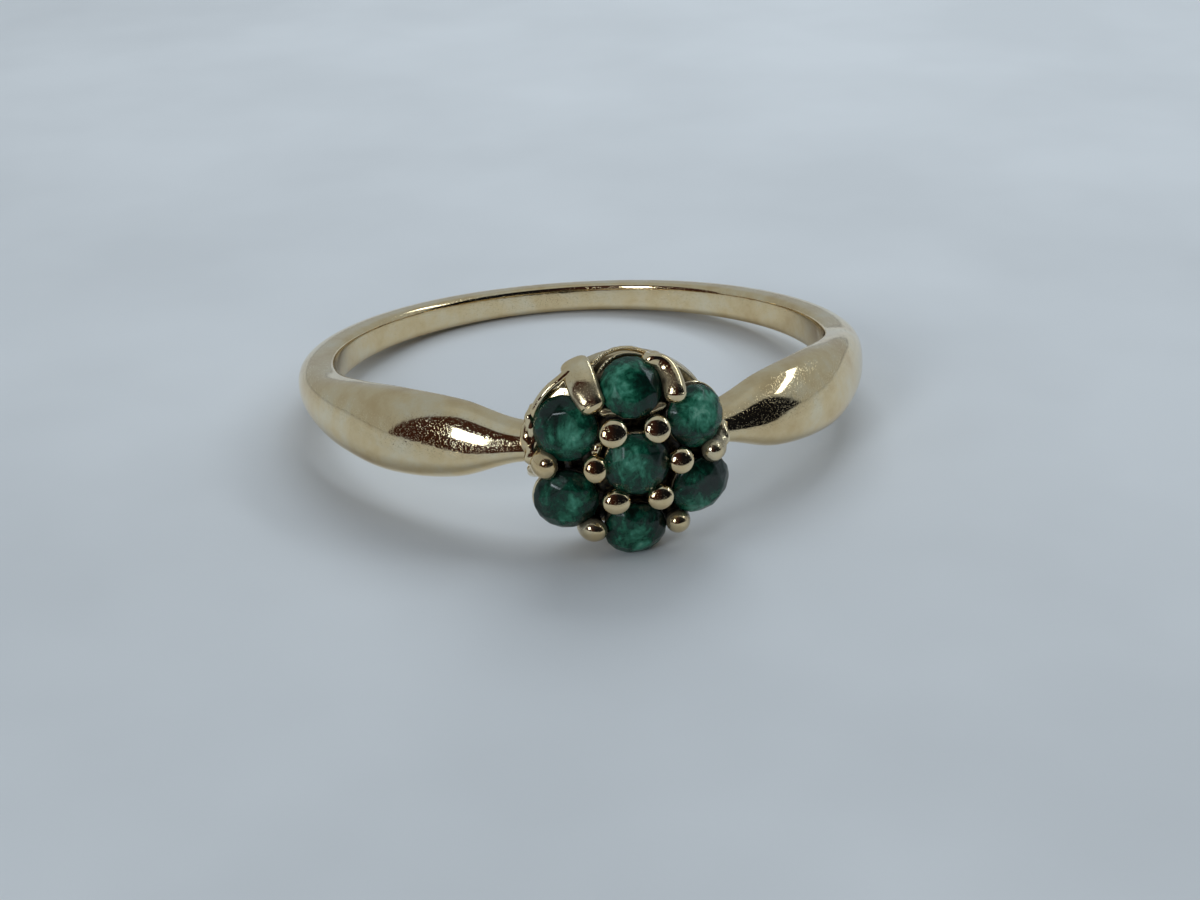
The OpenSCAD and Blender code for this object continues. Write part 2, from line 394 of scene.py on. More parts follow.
@dataclass(frozen=True)
class CloudyEmerald:
    """Natural emerald, cut and polished: deep green with the milky veils that jewellers call a garden.

    Light goes in and comes back teal where a veil catches it, and the rest of the stone stays dark. Each stone's mesh
    carries its own milkiness, the place of a painted highlight that lightens its colour, and the place of a painted
    shade that darkens it.
    """

    name: str = "cloudy_emerald"
    black: str = "#0B261D"
    dark: str = "#0F4433"
    body: str = "#1B6249"
    veil: str = "#4C977C"
    milk: str = "#8CC2A8"
    ior: float = 1.577
    veil_mm: float = 0.62
    spot_mm: float = 0.15
    crack_mm: float = 1.15
    relief_mm: float = 0.014

    def material(self) -> Material:
        """Build the material.

        Returns:
            The finished material.
        """
        finish, tree, place = begin(self.name)
        laid = add_node(tree, "ShaderNodeMapping", {"Rotation": (0.4, 0.3, 0.7), "Scale": (1.0, 1.4, 0.8)},
                        {"Vector": place})
        veils = add_node(tree, "ShaderNodeTexNoise", {"Scale": per_mm(self.veil_mm), "Detail": 6.0,
                                                      "Roughness": 0.62, "Distortion": 0.9}, {"Vector": laid})
        spots = add_node(tree, "ShaderNodeTexNoise", {"Scale": per_mm(self.spot_mm), "Detail": 4.0},
                         {"Vector": laid})
        # Each stone's two marked places: where a painted highlight lightens its colour and where a painted shade
        # darkens it.
        milky, local, glow, gloom = (
            add_node(tree, "ShaderNodeAttribute", {"attribute_name": key}).outputs[kind] for key, kind in (
                ("milkiness", "Fac"), ("local", "Vector"), ("glow", "Vector"), ("gloom", "Vector")))
        away, near = (add_node(tree, "ShaderNodeVectorMath", {"operation": "DISTANCE"}, {0: local, 1: spot})
                      for spot in (glow, gloom))
        # Distance from the stone's middle: the colour darkens towards the girdle as painted shade.
        edge = add_node(tree, "ShaderNodeVectorMath", {"operation": "LENGTH"}, {0: local})
        cells = add_node(tree, "ShaderNodeTexVoronoi", {"feature": "DISTANCE_TO_EDGE", "Scale": per_mm(self.crack_mm)},
                         {"Vector": laid})
        # Painted light round the highlight place, painted shade round the shade place, and dark cracks.
        painted_light, painted_shade, rim, line = (
            add_node(tree, "ShaderNodeMapRange", {1: low, 2: high, 3: at_low, 4: at_high}, {0: value})
            for value, low, high, at_low, at_high in (
                (away.outputs["Value"], 0.10, 0.80, 0.19, -0.07), (near.outputs["Value"], 0.15, 0.62, -0.22, 0.0),
                (edge.outputs["Value"], 0.72, 1.02, 0.0, -0.10), (cells, 0.0, 0.045, -0.12, 0.0)))
        broken = add_node(tree, "ShaderNodeMapRange", {1: 0.48, 2: 0.60}, {0: spots})
        crack = add_node(tree, "ShaderNodeMath", {"operation": "MULTIPLY"}, {0: line, 1: broken})
        base = add_node(tree, "ShaderNodeMath", {"operation": "ADD", 1: -0.15}, {0: veils})
        speck = add_node(tree, "ShaderNodeMath", {"operation": "MULTIPLY_ADD", 1: 0.45, 2: -0.235}, {0: spots})
        cloud = add_node(tree, "ShaderNodeMath", {"operation": "MULTIPLY_ADD", 1: 0.30}, {0: milky, 2: base})
        for part in (speck, painted_light, painted_shade, rim, crack):
            cloud = add_node(tree, "ShaderNodeMath", {"operation": "ADD"}, {0: cloud, 1: part})
        tone = add_node(tree, "ShaderNodeValToRGB", {"stops": [
            (0.22, linear(self.black)), (0.40, linear(self.dark)), (0.54, linear(self.body)),
            (0.70, linear(self.veil)), (0.86, linear(self.milk))]}, {"Fac": cloud})
        bump = add_node(tree, "ShaderNodeBump", {"Strength": 0.35, "Distance": self.relief_mm * MM},
                        {"Height": spots})
        rough = add_node(tree, "ShaderNodeMapRange", {1: 0.30, 2: 0.70, 3: 0.20, 4: 0.36}, {0: cloud})
        clear = add_node(tree, "ShaderNodeMapRange", {1: 0.25, 2: 0.60, 3: 0.30, 4: 0.05}, {0: cloud})
        shade = add_node(tree, "ShaderNodeBsdfPrincipled", {"IOR": self.ior, "Specular IOR Level": 0.24}, {
            "Base Color": tone, "Roughness": rough, "Transmission Weight": clear, "Normal": bump})
        add_node(tree, "ShaderNodeOutputMaterial", {}, {"Surface": shade})
        return finish


@dataclass(frozen=True)
class MattPaper:
    """Uncoated paper under cool daylight: a faint cloudy tone and a fine tooth, with no gloss."""

    name: str = "matt_paper"
    face: str = "#DEDFE1"
    shade: str = "#D6D7D9"
    cloud_mm: float = 14.0
    tooth_mm: float = 0.25
    relief_mm: float = 0.02

    def material(self) -> Material:
        """Build the material.

        Returns:
            The finished material.
        """
        finish, tree, place = begin(self.name)
        cloud, tooth = (add_node(tree, "ShaderNodeTexNoise", {"Scale": per_mm(spacing), "Detail": detail},
                                 {"Vector": place}) for spacing, detail in ((self.cloud_mm, 3.0), (self.tooth_mm, 4.0)))
        tone = add_node(tree, "ShaderNodeValToRGB", {"stops": [(0.35, linear(self.shade)), (0.65, linear(self.face))]},
                        {"Fac": cloud})
        bump = add_node(tree, "ShaderNodeBump", {"Strength": 0.25, "Distance": self.relief_mm * MM},
                        {"Height": tooth})
        shade = add_node(tree, "ShaderNodeBsdfPrincipled", {"Roughness": 0.9, "Specular IOR Level": 0.2},
                         {"Base Color": tone, "Normal": bump})
        add_node(tree, "ShaderNodeOutputMaterial", {}, {"Surface": shade})
        return finish


@dataclass(frozen=True)
class Spot:
    """Where one copy goes: its place, its turns about x, y and z in degrees, and its size along its own axes."""

    at: Triple
    turns_deg: Triple = (0.0, 0.0, 0.0)
    size: Triple = (1.0, 1.0, 1.0)


@dataclass
class Copies:
    """Geometry Nodes tree that sets one small piece on every spot, with a seeded spread in size."""

    spots: Sequence[Spot]
    spread: float = 0.0
    seed: int = 7
    sockets: dict[str, str] = field(default_factory=dict)

    def tree(self) -> NodeTree:
        """Build the tree and note the identifiers of its inputs.

        Returns:
            The tree.
        """
        tree = bpy.data.node_groups.new("set_on_spots", "GeometryNodeTree")
        kinds = (("Spots", "NodeSocketGeometry"), ("Piece", "NodeSocketObject"), ("Spread", "NodeSocketFloat"),
                 ("Seed", "NodeSocketInt"), ("Finish", "NodeSocketMaterial"))
        for name, kind in kinds:
            socket = tree.interface.new_socket(name=name, in_out="INPUT", socket_type=kind)
            self.sockets[name] = socket.identifier
        tree.interface.new_socket(name="Geometry", in_out="OUTPUT", socket_type="NodeSocketGeometry")
        given = add_node(tree, "NodeGroupInput").outputs
        piece = add_node(tree, "GeometryNodeObjectInfo", {"transform_space": "ORIGINAL"}, {"Object": given["Piece"]})
        turn, size = (add_node(tree, "GeometryNodeInputNamedAttribute", {"data_type": "FLOAT_VECTOR", "Name": name})
                      for name in ("turn", "size"))
        chance = add_node(tree, "FunctionNodeRandomValue", {"data_type": "FLOAT", 2: -1.0, 3: 1.0},
                          {"Seed": given["Seed"]})
        factor = add_node(tree, "ShaderNodeMath", {"operation": "MULTIPLY_ADD", 2: 1.0},
                          {0: chance.outputs[1], 1: given["Spread"]})
        scaled = add_node(tree, "ShaderNodeVectorMath", {"operation": "SCALE"}, {0: size, "Scale": factor})
        laid = add_node(tree, "GeometryNodeInstanceOnPoints", {}, {
            "Points": given["Spots"], "Instance": piece.outputs["Geometry"], "Rotation": turn, "Scale": scaled})
        real = add_node(tree, "GeometryNodeRealizeInstances", {}, {"Geometry": laid})
        dressed = add_node(tree, "GeometryNodeSetMaterial", {}, {"Geometry": real, "Material": given["Finish"]})
        add_node(tree, "NodeGroupOutput", {}, {0: dressed})
        return tree

    def bake(self, name: str, single: Mesh, place: Matrix, finish: Material) -> Object:
        """Set the copies and turn the result into a plain piece.

        Args:
            name: Name of the piece.
            single: One copy, in mm about its own origin.
            place: Matrix from the working frame to the row's frame.
            finish: Material of the piece.

        Returns:
            The piece, linked to the scene.
        """
        pattern = show(single, finish)
        points = bpy.data.meshes.new(name + "_spots")
        points.from_pydata([s.at for s in self.spots], [], [])
        turns = [math.radians(v) for s in self.spots for v in s.turns_deg]
        sizes = [v for s in self.spots for v in s.size]
        for key, values in (("turn", turns), ("size", sizes)):
            points.attributes.new(key, "FLOAT_VECTOR", "POINT").data.foreach_set("vector", values)
        carrier = show(points, finish)
        modifier = carrier.modifiers.new("copies", "NODES")
        modifier.node_group = self.tree()
        for key, value in {"Piece": pattern, "Spread": self.spread, "Seed": self.seed, "Finish": finish}.items():
            modifier[self.sockets[key]] = value
        bpy.context.view_layer.update()
        result = bpy.data.meshes.new_from_object(carrier.evaluated_get(bpy.context.evaluated_depsgraph_get()))
        carrier.modifiers.remove(modifier)
        bpy.data.objects.remove(carrier)
        bpy.data.objects.remove(pattern)
        result.name = name
        result.transform(place)
        for layer in [a.name for a in result.attributes if a.name in ("turn", "size")]:
            result.attributes.remove(result.attributes[layer])
        result.update()
        return show(result, finish)


@dataclass(frozen=True)
class Knot:
    """One point of a bar's path with the bar's half width and half depth there."""

    at: Triple
    wide: float
    deep: float


@dataclass(frozen=True)
class Stem:
    """A bar that follows a path, such as a claw with its bent tip. It may be flattened, or lumpy as solder is."""

    knots: tuple[Knot, ...]
    side: Triple
    steps: int = 9
    around: int = 32
    cap_steps: int = 8
    lumps: float = 0.0
    lump_mm: float = 0.25
    power: float = 2.0

    def along(self) -> list[tuple[Vector, float, float]]:
        """Give smooth points of the path, each with its half width and half depth.

        Returns:
            A list of (point, half width, half depth) from the first knot to the last.
        """
        rows = [(*k.at, k.wide, k.deep) for k in self.knots]
        rows = [rows[0], *rows, rows[-1]]
        out: list[tuple[Vector, float, float]] = []
        for i in range(1, len(rows) - 2):
            near = rows[i - 1:i + 3]
            for s in range(self.steps + (1 if i == len(rows) - 3 else 0)):
                t = s / self.steps
                v = [0.5 * (2 * b + (c - a) * t + (2 * a - 5 * b + 4 * c - d) * t * t
                            + (3 * b - a - 3 * c + d) * t ** 3) for a, b, c, d in zip(*near)]
                out.append((Vector(v[:3]), v[3], v[4]))
        return out

    def skin(self) -> Skin:
        """Give the points and faces of the bar, with round ends.

        Returns:
            The points in mm and the faces as corner numbers.
        """
        rows = self.along()
        ways = [(rows[min(i + 1, len(rows) - 1)][0] - rows[max(i - 1, 0)][0]).normalized() for i in range(len(rows))]
        rings = [(p, t, w, d) for (p, w, d), t in zip(rows, ways)]
        angles = [math.pi / 2 * k / self.cap_steps for k in range(1, self.cap_steps)]
        for (p, t, w, d), sign, end in ((rings[0], -1, False), (rings[-1], 1, True)):
            cap = [(p + t * (sign * d * math.sin(a)), t, w * math.cos(a), d * math.cos(a)) for a in angles]
            rings = rings + cap if end else cap[::-1] + rings
        points: list[Vector] = []
        for p, t, w, d in rings:
            across = (Vector(self.side) - t * Vector(self.side).dot(t)).normalized()
            out = across.cross(t)
            for a in full_turn(self.around):
                c, s = (math.copysign(abs(v) ** (2 / self.power), v) for v in (math.cos(a), math.sin(a)))
                step = across * (w * c) + out * (d * s)
                swell = 1.0 + self.lumps * noise.noise((p + step) / self.lump_mm)
                points.append(p + step * swell)
        return points, join_rings(len(rings), self.around, False)


@dataclass
class Shank:
    """Thin D-section band that swells into two leaf shoulders and narrows again under the head.

    Shares count the half turn from the back of the band to the head. The outer face of each shoulder leans, so that
    its fullest line lies below the middle. The lean sets in, steepens and fades between the given shares.
    """

    finger_r: float = 8.5
    back: Pair = (1.05, 1.2)
    shoulder: Pair = (2.65, 1.55)
    neck: Pair = (1.0, 1.15)
    stations: tuple[Triple, ...] = (
        (0.00, 0.00, 0.00), (0.22, 0.07, 0.10), (0.42, 0.18, 0.26), (0.56, 0.36, 0.44), (0.66, 0.78, 0.62),
        (0.74, 1.00, 1.00), (0.82, 0.82, 0.72), (0.89, 0.12, 0.22), (1.00, 0.00, 0.00))
    fullest: int = 5
    widest_share: float = 0.36
    outer_power: float = 2.4
    inner_power: float = 5.0
    shoulder_lean_deg: float = 8.0
    neck_lean_deg: float = 13.5
    lean_sets_in: Pair = (0.52, 0.66)
    lean_steepens: Pair = (0.79, 0.88)
    lean_fades: Pair = (1.0, 0.94)
    sections: int = 288
    around: int = 72

    def fill(self, share: float, column: int) -> float:
        """Give the smooth fill of one column of the stations at a share of the half turn.

        Args:
            share: 0 at the back of the band, 1 under the head.
            column: 1 for the width, 2 for the thickness.

        Returns:
            0 for the size of the thin part, 1 for the size of the shoulder.
        """
        rows = self.stations
        i = max(k for k in range(len(rows) - 1) if rows[k][0] <= share or k == 0)

        def slope(k: int) -> float:
            """Give the slope at station k, level at the ends and at the fullest.

            Args:
                k: Number of the station.

            Returns:
                The slope of the fill.
            """
            if k in (0, self.fullest, len(rows) - 1):
                return 0.0
            return (rows[k + 1][column] - rows[k - 1][column]) / (rows[k + 1][0] - rows[k - 1][0])

        h = rows[i + 1][0] - rows[i][0]
        u = (share - rows[i][0]) / h
        return ((2 * u ** 3 - 3 * u ** 2 + 1) * rows[i][column] + (u ** 3 - 2 * u ** 2 + u) * h * slope(i)
                + (3 * u ** 2 - 2 * u ** 3) * rows[i + 1][column] + (u ** 3 - u ** 2) * h * slope(i + 1))

    def size(self, share: float, column: int) -> float:
        """Give the width (column 1) or thickness (column 2) at a share of the half turn."""
        base = (self.back if share < self.stations[self.fullest][0] else self.neck)[column - 1]
        return base + (self.shoulder[column - 1] - base) * self.fill(share, column)

    def section(self, share: float) -> list[Pair]:
        """Give one section as (radius, height), flat towards the finger and domed outside.

        Args:
            share: 0 at the back of the band, 1 under the head.

        Returns:
            The section's points in mm, in order round it.
        """
        width, thick = self.size(share, 1), self.size(share, 2)
        widest = thick * self.widest_share
        steep = ease(share, *self.lean_steepens)
        lean = math.radians(self.shoulder_lean_deg + (self.neck_lean_deg - self.shoulder_lean_deg) * steep)
        slope = math.tan(lean) * ease(share, *self.lean_sets_in) * ease(share, *self.lean_fades)
        out = []
        for j in range(self.around):
            a = 2 * math.pi * (j + 0.5) / self.around
            c, s = math.cos(a), math.sin(a)
            power = self.outer_power if c > 0 else self.inner_power
            depth = thick - widest if c > 0 else widest
            height = width / 2 * math.copysign(abs(s) ** (2 / power), s)
            out.append((self.finger_r + widest + depth * math.copysign(abs(c) ** (2 / power), c)
                        - height * slope * max(0.0, c) ** 0.5, height))
        return out

    def build(self, finish: Material) -> Object:
        """Build the band.

        Args:
            finish: Material of the gold.

        Returns:
            The band, entered in the frame.
        """
        points: list[Vector] = []
        for i in range(self.sections):
            turn = 2 * math.pi * i / self.sections
            share = 1 - abs(1 - turn / math.pi)
            points += [Vector((r * math.sin(turn), r * math.cos(turn), z)) for r, z in self.section(share)]
        mesh = mesh_from("shank", points, join_rings(self.sections, self.around, True), PLACE.ring())
        return enter(show(mesh, finish))


@dataclass
class Cups:
    """Seven cone cups, each with a seat for its stone and a hole for light.

    Between the stones the lips hide under the girdles. On the outside of the upper cups they flare into a rim.
    """

    lip_r: float = 0.975
    lip_z: float = -0.15
    foot_r: float = 0.80
    foot_z: float = -1.1
    light_r: float = 0.6
    seat_r: float = 1.03
    slope: float = 0.84
    flares: tuple[float, ...] = (0.0, 0.17, 0.20, 0.06, 0.0, 0.03, 0.10)
    flare_way: Pair = (-0.3, 0.5)
    sharp_deg: float = 50.0
    steps: int = 96

    def profile(self, flare: float) -> list[Pair]:
        """Give the closed profile of a cup's wall as (radius, height), with its lip flared by so much.

        Args:
            flare: How far the lip stands out further, in mm.

        Returns:
            The profile's points in mm, in order round it.
        """
        lip_r, lip_z = self.lip_r + flare, self.lip_z - 0.25 * flare
        seat_top = self.seat_r + (self.lip_z + 0.07) / self.slope
        return [(seat_top, self.lip_z), (lip_r - 0.035, lip_z + 0.01), (lip_r - 0.01, lip_z), (lip_r, lip_z - 0.03),
                (lip_r - 0.01, lip_z - 0.07), (0.9 + 0.6 * flare, -0.5), (self.foot_r + 0.02, self.foot_z + 0.05),
                (self.foot_r - 0.02, self.foot_z), (self.light_r + 0.04, self.foot_z),
                (self.light_r, self.foot_z + 0.04),
                (self.light_r, -0.07 - self.slope * (self.seat_r - self.light_r))]

    def build(self, finish: Material) -> Object:
        """Build all seven cups as one piece.

        Args:
            finish: Material of the gold.

        Returns:
            The cups, entered in the frame.
        """
        points: list[Vector] = []
        faces: list[tuple[int, ...]] = []
        for place, flare in zip((Matrix.Identity(4), *(PLACE.petal(i) for i in range(6))), self.flares):
            first = len(points)
            for a in full_turn(self.steps):
                ring = self.profile(flare * ease(math.cos(a), *self.flare_way))
                points += [place @ polar(r, a, z) for r, z in ring]
            faces += [tuple(c + first for c in q) for q in join_rings(self.steps, len(ring), True)]
        mesh = mesh_from("cups", points, faces, PLACE.head())
        mesh.set_sharp_from_angle(angle=math.radians(self.sharp_deg))
        return enter(show(mesh, finish))


@dataclass
class Gallery:
    """Ring under the cups that ties the outer claws together and sits on the band."""

    middle_r: float = 2.529
    middle_z: float = -2.175
    width: float = 0.6
    height: float = 0.55
    edge: float = 0.12
    edge_steps: int = 4
    steps: int = 144

    def build(self, finish: Material) -> Object:
        """Build the gallery with rolled edges.

        Args:
            finish: Material of the gold.

        Returns:
            The gallery, entered in the frame.
        """
        profile = []
        for sx, sz, start in ((1, 1, 0), (-1, 1, 90), (-1, -1, 180), (1, -1, 270)):
            for a in (math.radians(start + 90 * k / self.edge_steps) for k in range(self.edge_steps + 1)):
                profile.append((self.middle_r + sx * (self.width / 2 - self.edge) + self.edge * math.cos(a),
                                self.middle_z + sz * (self.height / 2 - self.edge) + self.edge * math.sin(a)))
        points = [polar(r, a, z) for a in full_turn(self.steps) for r, z in profile]
        mesh = mesh_from("gallery", points, join_rings(self.steps, len(profile), True), PLACE.head())
        return enter(show(mesh, finish))


@dataclass
class OuterClaws:
    """Six claws that rise from the gallery and bend over two petal stones each.

    The four at the sides and below are alike. The two at the top are broad and were bent further over.
    """

    plain: Stem = Stem((Knot((2.53, 0.0, -1.975), 0.26, 0.26), Knot((2.62, 0.0, -1.4), 0.33, 0.32),
                        Knot((2.68, 0.0, -0.9), 0.40, 0.37), Knot((2.65, 0.0, -0.62), 0.40, 0.37),
                        Knot((2.57, 0.0, -0.45), 0.38, 0.35)), (0.0, 1.0, 0.0))
    sides: tuple[Spot, ...] = (
        Spot((-0.08, 0.03, 0.0), (0, 0, 180), (1.0, 1.12, 1.0)), Spot((0.0, 0.0, 0.0), (0, 0, 240), (1.0, 1.10, 1.0)),
        Spot((0.0, 0.0, 0.0), (0, 0, 300), (1.0, 0.96, 1.0)), Spot((-0.16, 0.02, 0.0), (0, 0, 0), (1.0, 0.96, 1.0)))
    top_left: Stem = Stem((Knot((-1.27, 2.15, -1.975), 0.26, 0.24), Knot((-1.46, 2.63, -1.62), 0.36, 0.22),
                           Knot((-1.55, 2.80, -1.38), 0.43, 0.21), Knot((-1.54, 2.76, -1.20), 0.46, 0.22),
                           Knot((-1.49, 2.59, -0.98), 0.48, 0.24), Knot((-1.40, 2.30, -0.68), 0.47, 0.27),
                           Knot((-1.28, 2.01, -0.46), 0.43, 0.30), Knot((-1.22, 1.90, -0.40), 0.41, 0.31)),
                          (0.92, 0.38, 0.0), power=2.5)
    top_right: Stem = Stem((Knot((1.20, 2.20, -1.975), 0.26, 0.26), Knot((0.88, 2.72, -1.50), 0.24, 0.20),
                            Knot((0.58, 2.92, -1.14), 0.18, 0.14), Knot((0.64, 2.94, -0.92), 0.18, 0.14),
                            Knot((0.91, 2.85, -0.92), 0.24, 0.18), Knot((1.12, 2.65, -0.82), 0.29, 0.22),
                            Knot((1.23, 2.39, -0.62), 0.32, 0.26), Knot((1.28, 2.13, -0.43), 0.34, 0.29),
                            Knot((1.29, 1.99, -0.37), 0.34, 0.30)), (0.8, 0.6, 0.0), power=2.3)

    def build(self, finish: Material) -> list[Object]:
        """Build the plain claws and the two at the top.

        Args:
            finish: Material of the gold.

        Returns:
            The three pieces, entered in the frame.
        """
        single = mesh_from("plain_claw", *self.plain.skin(), Matrix.Identity(4))
        pieces = [enter(Copies(self.sides).bake("side_claws", single, PLACE.head(), finish))]
        for name, stem in (("top_left_claw", self.top_left), ("top_right_claw", self.top_right)):
            pieces.append(enter(show(mesh_from(name, *stem.skin(), PLACE.head()), finish)))
        return pieces


@dataclass
class InnerClaws:
    """Six posts between the centre stone and two petals each, ending in domed beads."""

    bead_r: float = 0.41
    bead_h: float = 0.36
    dome_deg: Pair = (-48.0, 89.0)
    dome_rows: int = 16
    dome_power: float = 0.85
    post_r: float = 0.27
    post_z: float = -1.42
    neck_z: Pair = (-0.50, -0.38)
    spots: tuple[Spot, ...] = (
        Spot((-0.68, 1.09, 0.10), (-20.6, 12.6, 30), (1.10, 1.04, 0.56)),
        Spot((0.63, 1.11, 0.10), (-4.1, 23.7, 80), (1.04, 1.02, 0.56)),
        Spot((-1.26, 0.01, 0.10), (0, 20, 90), (1.02, 0.92, 0.66)),
        Spot((1.33, 0.02, 0.10), (-9.8, 17.5, 60), (0.98, 0.94, 0.62)),
        Spot((-0.66, -1.12, 0.10), (-15, 0, 0), (1.06, 0.94, 0.66)),
        Spot((0.68, -1.10, 0.10), (-14.1, 5.2, 20), (1.02, 0.94, 0.66)))
    steps: int = 44

    def build(self, finish: Material) -> Object:
        """Build one bead on its post and set the six copies.

        Args:
            finish: Material of the gold.

        Returns:
            The six claws as one piece, entered in the frame.
        """
        low, high = self.dome_deg
        rings = [(self.post_r, self.post_z), (self.post_r, self.neck_z[0]), (self.post_r + 0.02, self.neck_z[1])]
        rings += [(self.bead_r * math.cos(a) ** self.dome_power, self.bead_h * math.sin(a))
                  for a in (math.radians(low + (high - low) * k / (self.dome_rows - 1)) for k in range(self.dome_rows))]
        points = [polar(r, t, z) for r, z in rings for t in full_turn(self.steps)]
        single = mesh_from("bead_post", points, join_rings(len(rings), self.steps, False), Matrix.Identity(4))
        return enter(Copies(self.spots, spread=0.01, seed=11).bake("inner_claws", single, PLACE.head(), finish))


@dataclass
class TopRim:
    """Rim behind the top stone: a bright inner lip and a milled outer edge, with a few beads at the left."""

    lip_r: float = 1.09
    lip_z: float = -0.10
    edge_r: float = 1.28
    edge_z: float = -0.26
    edge_aside: float = 0.10
    first_deg: float = -46.0
    last_deg: float = 60.0
    arc_steps: int = 56
    around: int = 16
    lip_half: Pair = (0.05, 0.06)
    edge_half: Pair = (0.06, 0.12)
    grains: int = 27
    grain_half: Triple = (0.08, 0.050, 0.13)
    grain_lean_deg: float = 30.0
    beads: int = 5
    bead_half: Triple = (0.062, 0.055, 0.062)
    beads_deg: Pair = (22.0, 52.0)

    def arc(self, radius: float, height: float, half: Pair) -> Skin:
        """Give a bar bent round the stone, of this half width and half height, tapered at both ends.

        Args:
            radius: Radius of the bar's middle line.
            height: Height of the bar's middle line.
            half: Half width and half height of the bar.

        Returns:
            The points in mm and the faces as corner numbers.
        """
        points = []
        for i in range(self.arc_steps):
            u = i / (self.arc_steps - 1)
            a = math.radians(self.first_deg + (self.last_deg - self.first_deg) * u)
            taper = min(1.0, 0.3 + 5 * min(u, 1 - u))
            points += [polar(radius + half[0] * taper * math.cos(t), a, height + half[1] * taper * math.sin(t))
                       for t in full_turn(self.around)]
        return points, join_rings(self.arc_steps, self.around, False)

    def grain(self, name: str, half: Triple, lean_deg: float) -> Mesh:
        """Give one small oval grain about its own origin, leaning so many degrees to the side.

        Args:
            name: Name of the mesh.
            half: Its half sizes along x, y and z, in mm.
            lean_deg: How far it leans about x.

        Returns:
            The grain's mesh, in mm.
        """
        rows, sides = 7, 10
        points = [Vector((half[0] * math.cos(b) * math.cos(t), half[1] * math.cos(b) * math.sin(t),
                          half[2] * math.sin(b)))
                  for b in (math.radians(-80 + 160 * k / (rows - 1)) for k in range(rows)) for t in full_turn(sides)]
        lean = Matrix.Rotation(math.radians(lean_deg), 4, "X")
        return mesh_from(name, points, join_rings(rows, sides, False), lean)

    def spots(self, count: int, radius: float, height: float, first: float, last: float) -> list[Spot]:
        """Give evenly spaced spots on an arc, each turned to face outwards."""
        angles = [first + (last - first) * i / (count - 1) for i in range(count)]
        return [Spot(tuple(polar(radius, math.radians(a), height)), (0, 0, a)) for a in angles]

    def build(self, finish: Material) -> list[Object]:
        """Build the lip, the milled edge and the beads.

        Args:
            finish: Material of the gold.

        Returns:
            The four pieces, entered in the frame.
        """
        place = PLACE.head() @ PLACE.petal(0)
        aside = place @ Matrix.Translation((0.0, self.edge_aside, 0.0))
        pieces = []
        for name, skin, spot in (("top_lip", self.arc(self.lip_r, self.lip_z, self.lip_half), place),
                                 ("top_edge", self.arc(self.edge_r, self.edge_z, self.edge_half), aside)):
            pieces.append(enter(show(mesh_from(name, *skin, spot), finish)))
        milled = Copies(self.spots(self.grains, self.edge_r + 0.015, self.edge_z + 0.03,
                                   self.first_deg + 3, self.last_deg - 3), spread=0.10, seed=5)
        single = self.grain("grain", self.grain_half, self.grain_lean_deg)
        pieces.append(enter(milled.bake("milled_edge", single, aside, finish)))
        beads = Copies(self.spots(self.beads, self.lip_r, self.lip_z + 0.03, *self.beads_deg), spread=0.15, seed=2)
        pieces.append(enter(beads.bake("rim_beads", self.grain("bead", self.bead_half, 0), place, finish)))
        return pieces


@dataclass
class SolderWork:
    """Solder at the left and right of the head, where the claws were joined to the necks, and the outer bar."""

    stems: dict[str, Stem] = field(default_factory=lambda: {
        "left_solder": Stem((Knot((-2.86, 0.10, -0.85), 0.30, 0.26), Knot((-3.00, 0.45, -0.95), 0.26, 0.24),
                             Knot((-3.03, 0.90, -1.02), 0.24, 0.22), Knot((-2.98, 1.32, -1.10), 0.20, 0.20),
                             Knot((-2.86, 1.62, -1.20), 0.14, 0.14)), (1.0, 0.0, 0.4), lumps=0.45, lump_mm=0.28),
        "left_solder_low": Stem((Knot((-2.72, -0.05, -0.75), 0.30, 0.26), Knot((-2.90, -0.30, -1.05), 0.26, 0.24),
                                 Knot((-2.90, -0.50, -1.45), 0.20, 0.20)), (1.0, 0.0, 0.4), lumps=0.4, lump_mm=0.30),
        "right_solder": Stem((Knot((2.66, 0.20, -0.72), 0.24, 0.22), Knot((2.80, 0.38, -0.95), 0.22, 0.20),
                              Knot((2.82, 0.50, -1.35), 0.20, 0.20)), (1.0, 0.0, 0.4), lumps=0.4, lump_mm=0.30),
        "upper_left_bar": Stem((Knot((-1.78, 2.72, -1.08), 0.15, 0.11), Knot((-2.05, 2.52, -1.06), 0.16, 0.11),
                                Knot((-2.36, 2.30, -1.04), 0.16, 0.11), Knot((-2.66, 1.98, -1.04), 0.15, 0.11),
                                Knot((-2.88, 1.58, -1.06), 0.14, 0.11), Knot((-2.98, 1.20, -1.10), 0.12, 0.10)),
                               (0.0, 0.0, 1.0), lumps=0.06)})

    def build(self, finish: Material) -> list[Object]:
        """Build the solder and the bar."""
        return [enter(show(mesh_from(name, *stem.skin(), PLACE.head()), finish))
                for name, stem in self.stems.items()]


